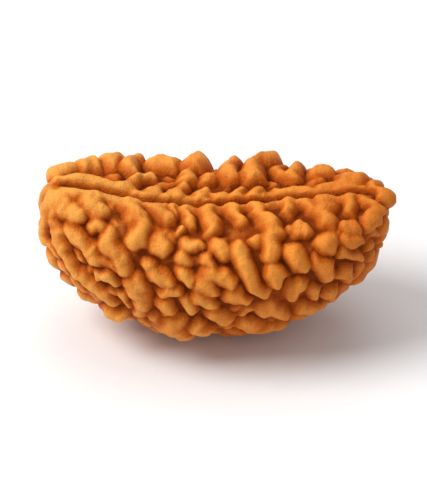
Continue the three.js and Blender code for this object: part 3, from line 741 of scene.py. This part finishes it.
def stone_tint_group():
    """Shader group: the stone's colour and roughness from crest to crevice, with its mottling, and painted
    light: a painted highlight on the crests and painted shade in the crevices.
    """
    tree = bpy.data.node_groups.new("stone tint", "ShaderNodeTree")
    socket(tree, "Place", "NodeSocketVector")
    socket(tree, "Proud", "NodeSocketFloat", 0.5)
    socket(tree, "Relief", "NodeSocketFloat", 0.0)
    for name, colour in STONE_COLOURS.items():
        socket(tree, name, "NodeSocketColor", (*colour, 1))
    for name, value in TINT_AMOUNTS.items():
        socket(tree, name, "NodeSocketFloat", value)
    socket(tree, "Colour", "NodeSocketColor", output=True)
    socket(tree, "Roughness", "NodeSocketFloat", output=True)
    w = Wiring(tree)
    given = tree.nodes.new("NodeGroupInput").outputs

    def noise(name):
        scale = given[name + " per metre"]
        inputs = {"Vector": given["Place"], "Scale": scale, "Detail": TINT_NOISE_DETAIL[name]}
        return w.add("ShaderNodeTexNoise", inputs)

    def lay(colour, share, below):
        """Lays a colour over what is below it, as far as the share says."""
        inputs = {"Factor": share, MIX_BELOW: below, MIX_ABOVE: given[colour]}
        return w.add("ShaderNodeMix", inputs, MIX_RESULT, data_type="RGBA")

    patches = noise("Patches")
    flecks = noise("Flecks")
    mottle = w.math("SUBTRACT", flecks, NOISE_MIDDLE)
    along_seed = w.add("ShaderNodeSeparateXYZ", {"Vector": given["Place"]})

    # the edge between the shades wanders with the mottling
    proud = w.math("MULTIPLY_ADD", mottle, given["Wandering"], given["Proud"])
    # crest carries a painted highlight, and the crevice colour below it painted shade
    crest = w.ramp(proud, *FLANK_TO_CREST)
    shade = lay("Flank", w.ramp(proud, *CREVICE_TO_FLANK), given["Crevice"])
    shade = lay("Crest", crest, shade)
    floor = w.math("MULTIPLY", w.ramp(given["Relief"], *WART_TO_FLOOR), w.ramp(proud, *HOLLOW_TO_FLOOR))
    for colour, share, mask in (
        ("Floor", "Floor share", floor),
        ("Red patch and painted shade", "Red patch and painted shade share", w.ramp(patches, *RED_PATCHES)),
        # amber patches lie on the crests only, where they add to the painted highlight
        ("Amber patch and painted light", "Amber patch and painted light share", w.math("MULTIPLY", w.ramp(patches, *AMBER_PATCHES), crest)),
        # painted light on the left end's crests and painted shade on the right end's
        ("Amber patch and painted light", "Left end painted light share", w.math("MULTIPLY", w.ramp(along_seed, *LEFT_END_PAINTED_LIGHT), crest)),
        ("Red patch and painted shade", "Right end painted shade share", w.math("MULTIPLY", w.ramp(along_seed, *RIGHT_END_PAINTED_SHADE), crest)),
        ("Crevice", "Fleck share", w.ramp(flecks, *FLECKS)),
    ):
        shade = lay(colour, w.math("MULTIPLY", mask, given[share]), shade)
    grains = w.math("SUBTRACT", noise("Grains"), NOISE_MIDDLE)
    shade = w.vector("SCALE", shade, w.math("MULTIPLY_ADD", grains, given["Grain contrast"], 1.0))
    dryness = w.ramp(proud, *OILED_TO_DRY)
    inputs = {"Value": dryness, "To Min": given["Crest roughness"], "To Max": given["Crevice roughness"]}
    rough = w.add("ShaderNodeMapRange", inputs)
    result = tree.nodes.new("NodeGroupOutput")
    w.feed(result.inputs["Colour"], shade)
    w.feed(result.inputs["Roughness"], w.math("MULTIPLY_ADD", mottle, given["Roughness mottling"], rough))
    return tree


# The fine grain
GRAINS_PER_METRE = 6500.0
GRAIN_DETAIL = 5.0
GRAIN_HARSHNESS = 0.6  # how strong the finer of its octaves are
PITS_PER_METRE = 4200.0
PIT_WIDTH = 0.35  # share of the distance between two pits
PIT_DEPTH = 0.4  # share of the height of the grains


def fine_grain_group():
    """Shader group: height of the fine woody grain."""
    tree = bpy.data.node_groups.new("fine grain", "ShaderNodeTree")
    socket(tree, "Place", "NodeSocketVector")
    socket(tree, "Grains per metre", "NodeSocketFloat", GRAINS_PER_METRE)
    socket(tree, "Pits per metre", "NodeSocketFloat", PITS_PER_METRE)
    socket(tree, "Height", "NodeSocketFloat", output=True)
    w = Wiring(tree)
    given = tree.nodes.new("NodeGroupInput").outputs
    inputs = {"Vector": given["Place"], "Scale": given["Grains per metre"]}
    grain = w.add("ShaderNodeTexNoise", inputs | {"Detail": GRAIN_DETAIL, "Roughness": GRAIN_HARSHNESS})
    inputs = {"Vector": given["Place"], "Scale": given["Pits per metre"]}
    pits = w.add("ShaderNodeTexVoronoi", inputs, "Distance")
    height = w.math("MULTIPLY_ADD", w.ramp(pits, 0.0, PIT_WIDTH, "LINEAR"), PIT_DEPTH, grain)
    w.feed(tree.nodes.new("NodeGroupOutput").inputs["Height"], height)
    return tree


GRAIN_DEPTH = 0.09 * MM
SHEEN = 0.08  # specular level of the oiled surface


def stone_material():
    """Satin, oiled stone: amber on its crests and red-brown in its crevices, partly its own tone and partly
    painted light, a painted highlight on the crests and painted shade in the crevices.
    """
    material = bpy.data.materials.new("oiled_stone")
    material.use_nodes = True
    tree = material.node_tree
    tree.nodes.clear()
    w = Wiring(tree)
    place = w.add("ShaderNodeTexCoord", out="Object")
    tint = tree.nodes.new("ShaderNodeGroup")
    tint.node_tree = stone_tint_group()
    w.feed(tint.inputs["Place"], place)
    w.feed(tint.inputs["Proud"], w.add("ShaderNodeAttribute", out="Fac", attribute_name="proud"))
    w.feed(tint.inputs["Relief"], w.add("ShaderNodeAttribute", out="Fac", attribute_name="relief"))
    grain = tree.nodes.new("ShaderNodeGroup")
    grain.node_tree = fine_grain_group()
    w.feed(grain.inputs["Place"], place)
    inputs = {"Height": grain.outputs["Height"], "Strength": 1.0, "Distance": GRAIN_DEPTH}
    inputs = {
        "Base Color": tint.outputs["Colour"],
        "Roughness": tint.outputs["Roughness"],
        "Normal": w.add("ShaderNodeBump", inputs),
        "Specular IOR Level": SHEEN,
    }
    shader = w.add("ShaderNodeBsdfPrincipled", inputs, "BSDF")
    w.feed(tree.nodes.new("ShaderNodeOutputMaterial").inputs["Surface"], shader)
    return material


FLOOR_COLOUR = (0.88, 0.88, 0.88, 1)
FLOOR_ROUGHNESS = 0.8
FLOOR_HALF = 2.0  # half its side, in metres


def floor_material():
    """Matt and pale."""
    material = bpy.data.materials.new("pale_floor")
    material.use_nodes = True
    shader = material.node_tree.nodes["Principled BSDF"]
    shader.inputs["Base Color"].default_value = FLOOR_COLOUR
    shader.inputs["Roughness"].default_value = FLOOR_ROUGHNESS
    return material


def pale_floor():
    """The floor that the seed stands on."""
    corners = [(-1, -1), (1, -1), (1, 1), (-1, 1)]
    mesh = bpy.data.meshes.new("pale_floor")
    mesh.from_pydata([(FLOOR_HALF * x, FLOOR_HALF * y, 0) for x, y in corners], [], [(0, 1, 2, 3)])
    mesh.materials.append(floor_material())
    floor = add_object("pale_floor", mesh)


# Studio light, in metres and watts: name, place, size and power of each lamp. They point at the seed.
LAMPS = (
    ("key_light", (-0.25, -0.02, 0.31), 0.22, 1.35),
    ("top_light", (0.02, 0.12, 0.4), 0.3, 0.35),
)
LAMP_TARGET = Vector((0, 0, 0.006))
SKY_STRENGTH = 0.45


def studio_light():
    """Soft daylight from above on the left, a weaker one from behind, and an even pale sky."""
    world = bpy.data.worlds.new("studio")
    world.use_nodes = True
    world.node_tree.nodes["Background"].inputs["Color"].default_value = (1, 1, 1, 1)
    world.node_tree.nodes["Background"].inputs["Strength"].default_value = SKY_STRENGTH
    bpy.context.scene.world = world
    for name, place, size, power in LAMPS:
        data = bpy.data.lights.new(name, "AREA")
        data.shape = "DISK"
        data.size = size
        data.energy = power
        lamp = add_object(name, data)
        lamp.location = place
        lamp.rotation_euler = (LAMP_TARGET - Vector(place)).to_track_quat("-Z", "Y").to_euler()


# Framing of the photograph: its size and scale, and where the origin of the drawing lies in it
FRAME_WIDTH = 427
FRAME_HEIGHT = 500
PIXELS_PER_MM = 13.69
ORIGIN_ACROSS = 216
ORIGIN_DOWN = 335
CAMERA_DISTANCE = 0.5
CAMERA_REACH = (0.01, 10)  # nearest and farthest distance that it sees
SENSOR_HEIGHT = 36
SEED_MIDDLE = 6.6  # height of the seed's middle, whose scale the camera keeps


def camera():
    """A long lens at the photograph's viewing angle, aimed so that the seed lies where the photo has it."""
    back = Vector((0, -math.cos(LOOK_DOWN), math.sin(LOOK_DOWN)))
    up = Vector((0, math.sin(LOOK_DOWN), math.cos(LOOK_DOWN)))
    across = (FRAME_WIDTH / 2 - ORIGIN_ACROSS) / PIXELS_PER_MM
    height = (ORIGIN_DOWN - FRAME_HEIGHT / 2) / PIXELS_PER_MM - DRAWN_ORIGIN
    aim = Vector((across, 0, 0)) + up * height + back * (SEED_MIDDLE * math.sin(LOOK_DOWN))
    data = bpy.data.cameras.new("camera")
    data.sensor_fit = "VERTICAL"
    data.sensor_height = SENSOR_HEIGHT
    data.lens = CAMERA_DISTANCE * SENSOR_HEIGHT * PIXELS_PER_MM / (FRAME_HEIGHT * MM)
    data.clip_start, data.clip_end = CAMERA_REACH
    eye = add_object("camera", data)
    eye.location = aim * MM + back * CAMERA_DISTANCE
    eye.rotation_euler = (-back).to_track_quat("-Z", "Y").to_euler()
    bpy.context.scene.camera = eye


camera()
pale_floor()
studio_light()
bpy.context.scene.view_settings.view_transform = "Standard"

seed = warted_stone(stone_material())
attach(seed, "root")
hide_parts("rudraksha_seed")
